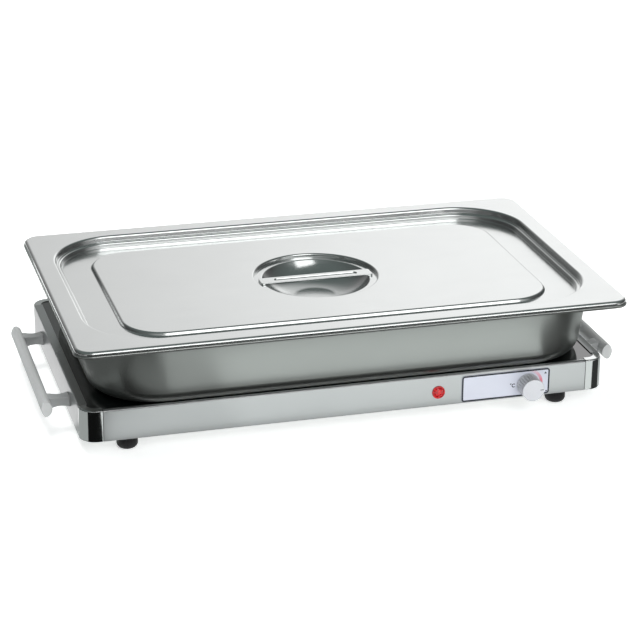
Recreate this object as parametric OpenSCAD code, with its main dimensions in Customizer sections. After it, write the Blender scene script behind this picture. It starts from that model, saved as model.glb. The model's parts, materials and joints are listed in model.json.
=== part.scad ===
// Electric buffet server: a low heated base with a black glass top, side handles,
// a thermostat knob and pilot lamp, carrying a gastronorm 1/1 pan and its lid.
// Millimetres, +Z up, +X to the right, front towards -Y.
// The origin lies on the table, under the middle of the whole set.

/* [Base] */
// Width of the heated base over its side panels
body_w = 511; // [480:1:520]
// Depth of the heated base over its front and rear panels
body_d = 294; // [270:1:300]
// Height of the sheet housing, without its feet
body_h = 31.2; // [30.8:0.1:36]
// How far the base stands behind the middle of the pan
body_y = 10.2; // [0:0.1:12]
// Thickness of the stainless sheet
sheet = 1; // [0.8:0.1:1]
// Outer radius of the corner posts
corner_r = 15.5; // [13:0.5:16]
// Distance from the side face to a post's seam with the front or rear panel
seam = 20.5; // [19:0.5:24]
// Distance from the front or rear face to a post's seam with the side panel
side_seam = 17; // [17:0.5:20]
// Width of the side panels' top flange
flange_w = 8.5; // [7:0.5:9]
// Radius of the bent top edge of the front and rear panels
edge_r = 2.5; // [2:0.5:3]
// Thickness of the glass hotplate
glass_t = 4; // [4:0.5:5]

/* [Feet] */
// Height of the rubber feet
foot_h = 14; // [12:1:18]
// Radius of the rubber feet
foot_r = 10; // [9:0.5:11]
// Distance of a foot's middle from the side face
foot_in_x = 44.5; // [38:0.5:60]
// Distance of a foot's middle from the front or rear face
foot_in_y = 15; // [14:1:24]

/* [Handles] */
// Length of a handle bar
bar_len = 195; // [180:1:220]
// Height of the bar's pointed oval section
bar_h = 16.2; // [15:0.2:17]
// Width of the bar's section
bar_w = 10.6; // [10:0.2:11]
// Distance from the side face to the middle of the bar
bar_out = 23.5; // [22:0.5:28]
// Distance between the two posts of a handle
post_pitch = 156; // [140:1:165]
// Width of a handle post along the bar
post_w = 13; // [12:0.5:14]
// Height of a handle post
post_h = 10.5; // [9:0.5:11]

/* [Controls] */
// Sideways place of the knob
knob_x = 176; // [150:1:180]
// Radius of the knob
knob_r = 11.1; // [10:0.1:12]
// How far the knob stands out of the front panel
knob_out = 17.5; // [15:0.5:18]
// Sideways place of the pilot lamp
lamp_x = 86; // [60:1:90]
// Radius of the pilot lamp's lens
lamp_r = 6.4; // [6:0.1:7]
// Width of the label plate
label_w = 89.2; // [85:0.2:92]
// Height of the label plate
label_h = 26.8; // [26:0.2:27]
// Sideways place of the label plate's middle
label_x = 153.7; // [150:0.1:156]

/* [Pan] */
// Length of the gastronorm 1/1 pan over its rim
pan_w = 530; // [528:1:532]
// Width of the pan over its rim
pan_d = 325; // [324:1:326]
// Depth of the pan from its rim to its underside
pan_h = 65; // [65:1:70]
// Sideways place of the loose pan on the hotplate
pan_x = 2.8; // [0:0.1:4]
// Width of the pan's flat rim
rim_w = 14.5; // [13:0.5:15]
// Corner radius of the pan's mouth
mouth_r = 72; // [70:1:76]
// How far the pan's walls lean in over their height
wall_lean = 7.5; // [5:0.5:9]
// Radius between the pan's wall and floor
floor_r = 14.5; // [10:0.5:18]

/* [Lid] */
// Width of the lid's flat border, outside its recess
border_w = 18.5; // [18:0.5:20]
// Height of the lid's border above the pan's rim
border_h = 3.5; // [3:0.1:4]
// Depth of the lid's recess below its border
recess_h = 10.7; // [9:0.1:12]
// Corner radius of the lid's recess
recess_r = 68; // [64:1:72]
// Half length of the lid's raised middle panel
plateau_x = 206.5; // [200:0.5:210]
// Half width of the lid's raised middle panel
plateau_y = 111.5; // [108:0.5:114]
// Corner radius of the raised middle panel
plateau_r = 38; // [34:1:42]
// Height of the raised middle panel above the recess floor
plateau_h = 3.1; // [2.8:0.1:3.4]
// Radius of the round finger dish
dish_r = 62.5; // [60:0.5:65]
// Depth of the finger dish
dish_h = 22; // [20:0.5:24]
// Length of the strip handle across the dish
strip_len = 113; // [112:0.5:114]
// Width of the strip handle
strip_w = 15; // [14:0.5:16]

/* [Hidden] */
$fn = 64;
// Overlap that joins solids, gap between neighbours, gap round a held shank, overshoot of a cut
eps = 0.01;
snug = 0.1;
hold = 0.02;
over = 1;

// Faces and levels of the housing
half_w = body_w / 2;
half_d = body_d / 2;
front_y = body_y - half_d;
rear_y = body_y + half_d;
z_top = foot_h + body_h;
z_mid = foot_h + body_h / 2;
inside_z = foot_h + sheet;
glass_z = z_top - sheet;

// Corner posts
post_cx = half_w - corner_r;
post_cy = half_d - corner_r;
seam_gap = 0.8;
ledge_w = 7.5;
ledge_h = sheet - 0.2;
tongue = 10;
tongue_z = [foot_h + 3.5, z_top - 7.2];
lug_z = inside_z + snug;
lug_h = 2;
lug_reach = 6;

// Bottom cover, its vents and its screws
cover_r = corner_r - sheet - 0.3;
cover_half = [post_cx + cover_r, post_cy + cover_r];
lip_h = 2.4;
lip_len = 300;
vent_w = 3;
vent_len = 26;
vent_pitch = 9;
vent_group_x = 120;
cover_screw_r = 1.5;
cover_screw_len = 5.5;
cover_head_r = 2.9;
cover_head_h = 1.6;
stud_r = 2;
foot_round_r = 5;

// Handles
screw_r = 2.5;
screw_head_r = 4.2;
screw_head_h = 2.5;
bar_x = half_w + bar_out;
outer_sag = 4;
inner_sag = bar_w - outer_sag;
chord_x = bar_x + (inner_sag - outer_sag) / 2;
tip_cut = 0.5;
post_waist = 1;
post_flare = 2;

// Glass, its seal and the rails that carry them
glass_inset = 1.6;
glass_r = corner_r - sheet - glass_inset;
glass_half = [post_cx + glass_r, post_cy + glass_r];
gasket_t = 1.5;
gasket_edge = [1, 6];
rail_z = glass_z - glass_t - gasket_t;
rail_w = 9;
rail_leg = 2;
rail_len_x = 2 * (half_w - seam - tongue - 2);
rail_len_y = 2 * (half_d - side_seam - tongue - 2);

// Heater stack
plate_half = [232, 112];
plate_y = 8;
plate_r = 12;
mat_inset = 6;
board_inset = 2;
spreader_t = 1.5;
mat_t = 1.5;
board_t = 6;
spreader_z = glass_z - glass_t - snug - spreader_t;
mat_z = spreader_z - mat_t;
board_z = mat_z - board_t;
tray_z = board_z - sheet;
pillar_r = 4;
pillar_x = 170;
pillar_y = 80;
pillar_h = tray_z - inside_z;
cutout_r = 8;
cutout_h = 6;

// Controls
control_z = foot_h + 13;
lamp_z = control_z + 1;
label_z = foot_h + 14.4;
label_t = 0.6;
label_r = 3;
shaft_r = 3;
shaft_clear = 0.05;
flat_depth = 1.4;
bush_r = 5;
bush_seat = 5;
thermo = [34, 30, 19];
thermo_y = front_y + sheet;
knob_gap = 0.9;
nut_cavity_r = 8.6;
nut_cavity_h = 3.4;
lamp_body_r = 5;
lamp_body_len = 22;

// Thermostat bulb in the groove of the insulation board
bulb_r = 2.6;
bulb_len = 85;
bulb_x = 50;
bulb_y = body_y + plate_y - 80;
bulb_z = board_z + board_t / 2;
groove_y = 8;
capillary_x = 150;
capillary_z = 22;

// Supply inlet and wiring
gland_x = -150;
gland_r = 6;
gland_bore = 3.6;
gland_out = 8;
gland_in = 12;
gland_flange_r = 9;
gland_flange_h = 2.5;
block = [34, 16, 12];
block_at = [gland_x + 14, rear_y - 26, inside_z];
earth_at = [gland_x + 70, rear_y - 17, inside_z];
earth_r = 2.5;
lead_z = inside_z + 3;
lead_r = 1.1;

// Pan
pan_z = glass_z + snug;
rim_z = pan_z + pan_h;
rim_drop = 2.6;
rim_corner_r = 16;
rim_fold_r = 1.5;
mouth_edge_r = 2.5;

// Lid
lid_gap = 0.1;
lid_z = rim_z + lid_gap + border_h;
lid_inset = 0.5;
lid_edge_r = 3;
step_run = 10;
plateau_z = lid_z - recess_h + plateau_h;
ledge_drop = 3.6;
ledge_r = 60;
bowl_r = 54;
bowl_fold_r = 1.2;
bowl_slope = 55;
bowl_arc_r = (dish_h - ledge_drop) / (1 - cos(bowl_slope)) - bowl_fold_r;
bowl_flat_r = bowl_r - (bowl_fold_r + bowl_arc_r) * sin(bowl_slope);
strip_t = 2;
groove_len = 84;
groove_w = 6.5;
groove_h = 1;

// Points along an arc of radius r about c, from angle a to angle b
function arc(c, r, a, b, n = 6) = [for (i = [0:n]) let (t = a + (b - a) * i / n) c + r * [cos(t), sin(t)]];
// Unit normal to the left of the line from a to b
function normal_of(a, b) = let (u = (b - a) / norm(b - a)) [-u[1], u[0]];
// Point i of a centre line, moved sideways by h so that the sheet keeps its thickness
function sideways(p, i, h) =
    let (last = len(p) - 1,
         before = normal_of(p[max(i - 1, 0)], p[max(i, 1)]),
         after = normal_of(p[min(i, last - 1)], p[min(i + 1, last)]),
         m = before + after)
    p[i] + m * 2 * h / (m * m);
// Outline of a sheet of thickness t whose middle follows the points p
function sheet_outline(p, t) =
    concat([for (i = [0:len(p) - 1]) sideways(p, i, t / 2)],
           [for (i = [len(p) - 1:-1:0]) sideways(p, i, -t / 2)]);
// Radius of the arc that rises by sag over half a chord
function arc_radius(half_chord, sag) = (half_chord * half_chord + sag * sag) / (2 * sag);
// The two numbers of v, each made smaller by d
function less(v, d) = [v[0] - d, v[1] - d];

// Mirrors its children to the left where sx is -1, or to the front where sy is -1
module on_side(sx = 1, sy = 1) {
    mirror([sx < 0 ? 1 : 0, 0, 0]) mirror([0, sy < 0 ? 1 : 0, 0]) children();
}

// Repeats its children at all four corners of a rectangle
module at_corners(x, y) {
    for (sx = [-1, 1]) for (sy = [-1, 1]) translate([sx * x, sy * y, 0]) children();
}

// Upright block with rounded corners, centred on the Z axis
module rounded_plate(half, r, z, h) {
    translate([-half[0] + r, -half[1], z]) cube([2 * (half[0] - r), 2 * half[1], h]);
    translate([-half[0], -half[1] + r, z]) cube([2 * half[0], 2 * (half[1] - r), h]);
    at_corners(half[0] - r, half[1] - r) translate([0, 0, z]) cylinder(r = r, h = h);
}

// Plate with a rounded hole in it
module rounded_frame(half, r, hole_half, hole_r, z, h) {
    difference() {
        rounded_plate(half, r, z, h);
        rounded_plate(hole_half, hole_r, z - over, h + 2 * over);
    }
}

// Sweeps an outline round a rounded rectangle. In the outline, x is measured outwards from
// the middle of the corner arcs, which lie at the distance half - r, and y is the height.
module sweep_round(half, r, outline) {
    cx = half[0] - r;
    cy = half[1] - r;
    for (sy = [-1, 1])
        on_side(1, sy) translate([-cx, cy, 0]) rotate([90, 0, 90]) linear_extrude(2 * cx) polygon(outline);
    for (sx = [-1, 1])
        on_side(sx) translate([cx, cy, 0]) rotate([90, 0, 0]) linear_extrude(2 * cy) polygon(outline);
    for (sx = [-1, 1])
        for (sy = [-1, 1])
            on_side(sx, sy) translate([cx, cy, 0]) rotate_extrude(angle = 90) polygon(outline);
}

// Rounds each inner corner of a route with a short curve that starts at distance d from it
function rounded_route(p, d) =
    let (last = len(p) - 1)
    concat([p[0]],
           [for (i = [1:last - 1])
               let (a = p[i] + d * (p[i - 1] - p[i]) / norm(p[i - 1] - p[i]),
                    b = p[i] + d * (p[i + 1] - p[i]) / norm(p[i + 1] - p[i]))
               for (t = [0:0.25:1]) (1 - t) * (1 - t) * a + 2 * t * (1 - t) * p[i] + t * t * b],
           [p[last]]);

// A bent wire or tube of radius r: one ring of eight points at each point of the route
module wire(route, r) {
    sides = 8;
    up = [0.31, 0.22, 0.93];
    p = rounded_route(route, 4 * r);
    n = len(p);
    rings = [for (i = [0:n - 1])
        let (d = p[min(i + 1, n - 1)] - p[max(i - 1, 0)],
             u = cross(d, up) / norm(cross(d, up)),
             v = cross(d, u) / norm(d))
        for (k = [0:sides - 1]) p[i] + r * (cos(360 * k / sides) * u + sin(360 * k / sides) * v)];
    function at(i, k) = i * sides + k % sides;
    polyhedron(rings, concat(
        [[for (k = [0:sides - 1]) k]],
        [for (i = [0:n - 2]) for (k = [0:sides - 1]) [at(i, k), at(i + 1, k), at(i, k + 1)]],
        [for (i = [0:n - 2]) for (k = [0:sides - 1]) [at(i, k + 1), at(i + 1, k), at(i + 1, k + 1)]],
        [[for (k = [sides - 1:-1:0]) at(n - 1, k)]]));
}

// Hexagonal nut with its axis along Z and its lower face at the origin
module hex_nut(r, h, bore) {
    difference() {
        cylinder(r = r, h = h, $fn = 6);
        translate([0, 0, -over]) cylinder(r = bore, h = h + 2 * over, $fn = 32);
    }
}

// Round hole of radius r right through a sheet that lies across the Y axis at y = 0
module hole_y(r) {
    reach = 3;
    translate([0, -reach, 0]) rotate([-90, 0, 0]) cylinder(r = r, h = 2 * reach);
}

// ---- Housing -------------------------------------------------------------------------

// Section of the front and rear panels: an upright wall with a bent-in top edge
function panel_section() =
    let (m = sheet / 2, bend_r = edge_r - m)
    sheet_outline(concat([[m, foot_h]],
                         arc([edge_r, z_top - edge_r], bend_r, 180, 90),
                         [[edge_r + 1, z_top - m]]), sheet);

module panel_blank() {
    translate([half_w - seam, -half_d, 0]) rotate([90, 0, -90])
        linear_extrude(2 * (half_w - seam)) mirror([1, 0]) polygon(panel_section());
}

module front_panel() {
    color("lightgrey") difference() {
        translate([0, body_y, 0]) panel_blank();
        translate([knob_x, front_y, control_z]) hole_y(bush_r + snug);
        translate([lamp_x, front_y, lamp_z]) hole_y(lamp_body_r + snug);
    }
}

module rear_panel() {
    color("lightgrey") difference() {
        translate([0, body_y, 0]) on_side(1, -1) panel_blank();
        translate([gland_x, rear_y, control_z]) hole_y(gland_r + snug);
    }
}

// Side panel: an upright wall with a wide flat flange over the edge of the glass
module side_panel(sx) {
    length = 2 * (half_d - side_seam);
    color("silver") translate([0, body_y, 0]) on_side(sx) difference() {
        union() {
            translate([half_w - sheet, -length / 2, foot_h]) cube([sheet, length, body_h]);
            translate([half_w - flange_w, -length / 2, z_top - sheet]) cube([flange_w, length, sheet]);
        }
        for (sy = [-1, 1])
            translate([half_w, sy * post_pitch / 2, z_mid]) rotate([0, 0, 90]) hole_y(screw_r + snug);
    }
}

module left_side_panel() { side_panel(-1); }
module right_side_panel() { side_panel(1); }

// Quarter-round corner post with a top ledge, tongues behind the panels and a screw lug
module corner_post(sx, sy) {
    post_h0 = glass_z - foot_h;
    color("gainsboro") translate([0, body_y, 0]) on_side(sx, sy) difference() {
        union() {
            intersection() {
                translate([post_cx, post_cy, foot_h]) difference() {
                    cylinder(r = corner_r, h = post_h0 + ledge_h);
                    translate([0, 0, -over]) cylinder(r = corner_r - sheet, h = post_h0 + over);
                    translate([0, 0, -over]) cylinder(r = corner_r - ledge_w, h = body_h + 2 * over);
                }
                translate([post_cx, post_cy, 0]) cube([corner_r, corner_r, z_top]);
            }
            post_leg(0, seam - corner_r);
            post_leg(1, side_seam - corner_r);
            intersection() {
                translate([post_cx, post_cy, lug_z]) cylinder(r = corner_r - sheet + eps, h = lug_h);
                translate([post_cx - lug_reach, post_cy - lug_reach, 0])
                    cube([corner_r + lug_reach, corner_r + lug_reach, z_top]);
            }
        }
        translate([post_cx, post_cy, foot_h]) cylinder(r = cover_screw_r + snug, h = z_mid - foot_h);
    }
}

// One straight leg of a post, with its tongue behind the panel: turn 0 lies along the
// front or rear face, turn 1 along the side face
module post_leg(turn, leg) {
    outer = turn == 0 ? half_d : half_w;
    start = (turn == 0 ? post_cx : post_cy) - leg;
    width = leg - seam_gap / 2 + eps;
    joggle = min(1, leg / 2);
    behind = outer - 2 * sheet - snug;
    tongue_h = tongue_z[1] - tongue_z[0];
    multmatrix(turn == 0 ? [[1, 0, 0], [0, 1, 0], [0, 0, 1]] : [[0, 1, 0], [1, 0, 0], [0, 0, 1]]) {
        translate([start + seam_gap / 2, outer - sheet, foot_h])
            cube([width, sheet, glass_z + ledge_h - foot_h]);
        translate([start + seam_gap / 2, outer - ledge_w, glass_z]) cube([width, ledge_w, ledge_h]);
        translate([start - tongue, behind, tongue_z[0]]) cube([tongue + leg, sheet, tongue_h]);
        translate([start + joggle, behind, tongue_z[0]]) cube([leg - joggle, sheet + snug + eps, tongue_h]);
    }
}

module corner_post_front_left() { corner_post(-1, -1); }
module corner_post_front_right() { corner_post(1, -1); }
module corner_post_rear_left() { corner_post(-1, 1); }
module corner_post_rear_right() { corner_post(1, 1); }

// Places its children at each of the four feet
module at_feet() {
    translate([0, body_y, 0]) at_corners(half_w - foot_in_x, half_d - foot_in_y) children();
}

// Places its children at the screws between the bottom cover and the corner posts
module at_cover_screws() {
    translate([0, body_y, 0]) at_corners(post_cx, post_cy) children();
}

// Shallow tray that closes the housing from below, with vent slots and foot holes
module bottom_cover() {
    lip_y = cover_half[1] - 3;
    color("darkgrey") difference() {
        translate([0, body_y, 0]) {
            rounded_plate(cover_half, cover_r, foot_h, sheet);
            for (sy = [-1, 1]) on_side(1, sy)
                translate([-lip_len / 2, lip_y - sheet / 2, foot_h]) cube([lip_len, sheet, sheet + lip_h]);
        }
        at_cover_screws() translate([0, 0, foot_h - over])
            cylinder(r = cover_screw_r + 2 * snug, h = sheet + 2 * over);
        at_feet() translate([0, 0, foot_h - over]) cylinder(r = stud_r + snug, h = sheet + 2 * over);
        for (group = [-1, 0, 1]) for (i = [-4:4])
            translate([group * vent_group_x + i * vent_pitch, body_y, foot_h + sheet / 2])
                cube([vent_w, vent_len, sheet + 2 * over], center = true);
    }
}

module bottom_cover_screws() {
    color("dimgrey") at_cover_screws() translate([0, 0, foot_h]) {
        cylinder(r = cover_screw_r, h = cover_screw_len);
        translate([0, 0, -cover_head_h]) cylinder(r = cover_head_r, h = cover_head_h);
    }
}

module rubber_feet() {
    flat_r = foot_r - foot_round_r;
    color([0.06, 0.06, 0.06]) at_feet() difference() {
        rotate_extrude() polygon(concat([[0, 0]],
            arc([flat_r, foot_round_r], foot_round_r, -90, 0, 8),
            [[foot_r - 1, foot_h], [0, foot_h]]));
        translate([0, 0, foot_h / 2]) cylinder(r = stud_r + hold, h = foot_h);
    }
}

module foot_studs() {
    color("silver") at_feet() translate([0, 0, foot_h / 2]) cylinder(r = stud_r, h = foot_h / 2 + 7);
}

module foot_nuts() {
    color("silver") at_feet() translate([0, 0, inside_z]) hex_nut(4, 3, stud_r + hold);
}

// ---- Handles -------------------------------------------------------------------------

// Bar of one handle: a pointed oval, rounder towards the housing, with flat-cut ends
module handle_bar(sx) {
    outer_r = arc_radius(bar_h / 2, outer_sag);
    inner_r = arc_radius(bar_h / 2, inner_sag);
    hole_x = bar_x - bar_w;
    color("darkgrey") translate([0, body_y, z_mid]) on_side(sx) difference() {
        translate([0, bar_len / 2, 0]) rotate([90, 0, 0]) linear_extrude(bar_len) intersection() {
            translate([chord_x + outer_sag - outer_r, 0]) circle(r = outer_r);
            translate([chord_x - inner_sag + inner_r, 0]) circle(r = inner_r);
            translate([chord_x, 0]) square([3 * bar_w, bar_h - 2 * tip_cut], center = true);
        }
        for (sy = [-1, 1]) translate([hole_x, sy * post_pitch / 2, 0]) rotate([0, 90, 0])
            cylinder(r = screw_r + hold, h = bar_x + over - hole_x);
    }
}

module left_handle_bar() { handle_bar(-1); }
module right_handle_bar() { handle_bar(1); }

// Cylinder along Y that hollows a post's side: its surface dips by the waist at the post's middle
module waist_cut(r, height) {
    rotate([90, 0, 0]) cylinder(r = r, h = height, center = true, $fn = 180);
}

// Two waisted posts that hold a bar off the side panel
module handle_posts(sx) {
    waist_r = arc_radius(bar_out / 2 - post_flare, post_waist);
    inner_r = arc_radius(bar_h / 2, inner_sag);
    mid = half_w + bar_out / 2 - post_flare;
    cut = 2 * bar_h;
    color("grey") translate([0, body_y, z_mid]) on_side(sx)
        for (sy = [-1, 1]) translate([0, sy * post_pitch / 2, 0]) difference() {
            translate([half_w, -post_w / 2, -post_h / 2]) cube([bar_out, post_w, post_h]);
            for (s = [-1, 1]) {
                translate([mid, 0, s * (post_h / 2 + waist_r - post_waist)]) waist_cut(waist_r, cut);
                translate([mid, s * (post_w / 2 + waist_r - post_waist), 0]) rotate([90, 0, 0])
                    waist_cut(waist_r, cut);
            }
            translate([chord_x - inner_sag + inner_r, 0, 0]) rotate([90, 0, 0])
                cylinder(r = inner_r + hold, h = cut, center = true);
            translate([half_w - over, 0, 0]) rotate([0, 90, 0])
                cylinder(r = screw_r + snug, h = bar_out + 2 * over);
        }
}

module left_handle_posts() { handle_posts(-1); }
module right_handle_posts() { handle_posts(1); }

// Long screws from inside the housing, through the posts and into the bar
module handle_screws(sx) {
    color("silver") translate([0, body_y, z_mid]) on_side(sx)
        for (sy = [-1, 1]) translate([half_w - sheet, sy * post_pitch / 2, 0]) rotate([0, 90, 0]) {
            cylinder(r = screw_r, h = bar_out + sheet);
            translate([0, 0, -screw_head_h]) cylinder(r = screw_head_r, h = screw_head_h);
        }
}

module left_handle_screws() { handle_screws(-1); }
module right_handle_screws() { handle_screws(1); }

// ---- Glass hotplate and heater -------------------------------------------------------

module glass_plate() {
    color([0.07, 0.09, 0.09]) translate([0, body_y, 0])
        rounded_plate(glass_half, glass_r, glass_z - glass_t, glass_t);
}

module glass_gasket() {
    color("dimgrey") translate([0, body_y, 0])
        rounded_frame(less(glass_half, gasket_edge[0]), glass_r - gasket_edge[0],
                      less(glass_half, gasket_edge[1]), glass_r - gasket_edge[1], rail_z, gasket_t);
}

// One angle rail along X, its ledge under the gasket and its leg against the wall at y = 0
module rail(length) {
    translate([-length / 2, 0, rail_z - sheet]) cube([length, rail_w, sheet]);
    translate([-length / 2, 0, rail_z - rail_leg]) cube([length, sheet, rail_leg]);
}

// Four angle rails, welded inside the panels, that carry the gasket and the glass
module support_rails() {
    inset = sheet + snug;
    color("silver") translate([0, body_y, 0]) {
        for (sy = [-1, 1]) on_side(1, sy) translate([0, -half_d + inset, 0]) rail(rail_len_x);
        for (sx = [-1, 1]) on_side(sx) translate([-half_w + inset, 0, 0]) mirror([1, -1, 0]) rail(rail_len_y);
    }
}

module heat_spreader() {
    color("lightsteelblue") translate([0, body_y + plate_y, 0])
        rounded_plate(plate_half, plate_r, spreader_z, spreader_t);
}

module heater_mat() {
    color("chocolate") translate([0, body_y + plate_y, 0])
        rounded_plate(less(plate_half, mat_inset), plate_r - mat_inset, mat_z, mat_t);
}

// Mineral board under the heater, grooved for the thermostat's bulb
module insulation_board() {
    color("wheat") difference() {
        translate([0, body_y + plate_y, 0])
            rounded_plate(less(plate_half, board_inset), plate_r - board_inset, board_z, board_t);
        translate([bulb_x - 10, bulb_y - groove_y / 2, board_z - over])
            cube([capillary_x + 20 - bulb_x, groove_y, board_t + 2 * over]);
    }
}

// Sheet tray that presses board, heater and spreader up against the glass
module heater_tray() {
    color("silver") difference() {
        translate([0, body_y + plate_y, 0]) rounded_plate(plate_half, plate_r, tray_z, sheet);
        translate([capillary_x - 10, bulb_y - groove_y / 2, tray_z - over])
            cube([20, groove_y, sheet + 2 * over]);
    }
}

module tray_pillars() {
    color("silver") translate([0, body_y + plate_y, inside_z])
        for (x = [-pillar_x, 0, pillar_x]) for (sy = [-1, 1]) translate([x, sy * pillar_y, 0])
            cylinder(r = pillar_r, h = pillar_h);
}

module thermal_cutout() {
    ears = [24, 6, 1];
    color("tan") translate([-60, body_y + 40, tray_z]) {
        translate([0, 0, -cutout_h]) cylinder(r = cutout_r, h = cutout_h);
        translate([-ears[0] / 2, -ears[1] / 2, -ears[2]]) cube(ears);
    }
}

// ---- Controls ------------------------------------------------------------------------

// Moves to a point on the front panel's face, with Z pointing out of the face
module on_front(x, z, out = 0) {
    translate([x, front_y - out, z]) rotate([90, 0, 0]) children();
}

module label_plate() {
    color("lavender") difference() {
        on_front(label_x, label_z) rounded_plate([label_w / 2, label_h / 2], label_r, 0, label_t);
        translate([knob_x, front_y, control_z]) hole_y(bush_r + snug);
    }
}

module thermostat_body() {
    color("saddlebrown") translate([knob_x, thermo_y, control_z]) difference() {
        translate([-thermo[0] / 2, 0, -thermo[2] / 2]) cube(thermo);
        translate([0, -over, 0]) rotate([-90, 0, 0]) cylinder(r = bush_r + snug, h = bush_seat + over);
    }
}

// Threaded bush in which the spindle turns, held by the thermostat's face
module thermostat_bush() {
    color("gold") on_front(knob_x, control_z, -sheet - bush_seat) difference() {
        cylinder(r = bush_r, h = bush_seat + sheet + 3);
        translate([0, 0, 1]) cylinder(r = shaft_r + shaft_clear, h = bush_seat + sheet + 3);
    }
}

module thermostat_nut() {
    color("silver") on_front(knob_x, control_z, label_t) hex_nut(7.5, 2, bush_r + hold);
}

// Turning spindle with a flat for the knob
module thermostat_spindle() {
    length = 18.5;
    color("silver") on_front(knob_x, control_z, -sheet - 3.5) difference() {
        cylinder(r = shaft_r, h = length);
        translate([shaft_r - flat_depth, -shaft_r, 12]) cube([shaft_r, 2 * shaft_r, length]);
    }
}

// Ribbed knob, hollow at the back over the nut
module control_knob() {
    ribs = 30;
    rib_r = 0.7;
    height = knob_out - knob_gap;
    margin = 1.6;
    color("silver") on_front(knob_x, control_z, knob_gap) difference() {
        cylinder(r = knob_r, h = height);
        translate([0, 0, -over]) cylinder(r = nut_cavity_r, h = nut_cavity_h + over);
        difference() {
            translate([0, 0, -over]) cylinder(r = shaft_r + hold, h = height - 2 + over);
            translate([shaft_r - flat_depth + hold, -shaft_r - over, 8])
                cube([shaft_r, 2 * (shaft_r + over), height]);
        }
        for (i = [0:ribs - 1]) rotate([0, 0, i * 360 / ribs])
            translate([knob_r + rib_r / 2, 0, margin]) cylinder(r = rib_r, h = height - 2 * margin, $fn = 16);
    }
}

module knob_pointer() {
    line = [3.6, 0.8, 0.15];
    color("dimgrey") on_front(knob_x, control_z, knob_out) translate([6.4, -line[1] / 2, 0]) cube(line);
}

// Red lens: a thin rim and a low dome
module pilot_lamp_lens() {
    rim = 0.8;
    dome_r = 8.5;
    dome_base = lamp_r - 1.4;
    centre_z = rim - sqrt(dome_r * dome_r - dome_base * dome_base);
    edge_angle = acos(dome_base / dome_r);
    color("red") on_front(lamp_x, lamp_z) rotate_extrude()
        polygon(concat([[0, 0], [lamp_r, 0], [lamp_r, rim]], arc([0, centre_z], dome_r, edge_angle, 90, 6)));
}

module pilot_lamp_body() {
    tab = [0.8, 3, 7];
    color("ivory") translate([lamp_x, front_y, lamp_z]) rotate([-90, 0, 0]) {
        cylinder(r = lamp_body_r, h = lamp_body_len);
        for (s = [-1, 1]) translate([s * 2.2 - tab[0] / 2, -tab[1] / 2, lamp_body_len - over]) cube(tab);
    }
}

module pilot_lamp_clip() {
    clip_t = 1.2;
    color("silver") translate([lamp_x, front_y + sheet, lamp_z]) rotate([-90, 0, 0]) difference() {
        cylinder(r = lamp_body_r + 2.5, h = clip_t);
        translate([0, 0, -over]) cylinder(r = lamp_body_r + hold, h = clip_t + 2 * over);
    }
}

module thermostat_bulb() {
    color("peru") translate([bulb_x, bulb_y, bulb_z]) rotate([0, 90, 0]) cylinder(r = bulb_r, h = bulb_len);
}

// Thin copper tube from the bulb down through the tray to the back of the thermostat
module capillary_tube() {
    back_y = thermo_y + thermo[1];
    route = [[bulb_x + bulb_len, bulb_y, bulb_z], [capillary_x, bulb_y, bulb_z],
             [capillary_x, bulb_y, capillary_z], [capillary_x + 2, front_y + 45, capillary_z],
             [knob_x - 6, back_y + 4, capillary_z + 2], [knob_x - 6, back_y, capillary_z + 2]];
    color("peru") wire(route, 0.8);
}

// ---- Supply inlet and wiring ---------------------------------------------------------

// Gland where the supply cord enters at the rear
module cord_gland() {
    color([0.12, 0.12, 0.12]) translate([gland_x, rear_y, control_z]) rotate([-90, 0, 0]) difference() {
        union() {
            cylinder(r = gland_flange_r, h = gland_flange_h);
            cylinder(r1 = gland_r + 1.4, r2 = gland_r, h = gland_out);
            translate([0, 0, -gland_in]) cylinder(r = gland_r, h = gland_in + over);
        }
        translate([0, 0, -gland_in - over]) cylinder(r = gland_bore, h = gland_in + gland_out + 2 * over);
    }
}

module gland_nut() {
    color([0.12, 0.12, 0.12]) translate([gland_x, rear_y - sheet, control_z]) rotate([90, 0, 0])
        hex_nut(9.5, 4, gland_r + hold);
}

// Three-way terminal block behind the gland
module terminal_block() {
    pitch = 11;
    color("ivory") translate(block_at) difference() {
        cube(block);
        for (i = [-1:1]) translate([block[0] / 2 + i * pitch, block[1] / 2, block[2] - 7])
            cylinder(r = 2.2, h = 10);
    }
}

// Brass stud with a square washer, for the earth lead
module earth_stud() {
    washer = [12, 12, 1.2];
    color("gold") translate(earth_at) {
        cylinder(r = earth_r, h = 11);
        difference() {
            translate([-washer[0] / 2, -washer[1] / 2, 0]) cube(washer);
            translate([0, 0, -over]) cylinder(r = earth_r, h = washer[2] + 2 * over);
        }
    }
}

module earth_nut() {
    color("gold") translate(earth_at + [0, 0, 1.2]) hex_nut(4.6, 3.5, earth_r + hold);
}

// Leads from the terminal block to the lamp and to the thermostat
module internal_leads() {
    lamp_lead_x = block_at[0] + 6;
    thermo_lead_x = block_at[0] + block[0] / 2;
    cross_x = gland_x + 90;
    color("firebrick") {
        wire([[lamp_lead_x, block_at[1], lead_z], [lamp_lead_x, block_at[1] - 14, lead_z],
              [gland_x - 40, block_at[1] - 14, lead_z], [gland_x - 60, front_y + 24, lead_z],
              [lamp_x - 3, front_y + 24, lead_z], [lamp_x - 3, front_y + 32, lead_z]], lead_r);
        wire([[thermo_lead_x, block_at[1], lead_z], [thermo_lead_x, block_at[1] - 20, lead_z],
              [cross_x, block_at[1] - 30, lead_z], [cross_x, front_y + 52, lead_z],
              [knob_x + 8, front_y + 52, lead_z], [knob_x + 8, thermo_y + thermo[1], lead_z + 3]], lead_r);
    }
}

module rating_plate() {
    size = [60, 0.5, 18];
    color("gainsboro") translate([30, rear_y, foot_h + 8]) cube(size);
}

// ---- Pan and lid ---------------------------------------------------------------------

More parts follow.
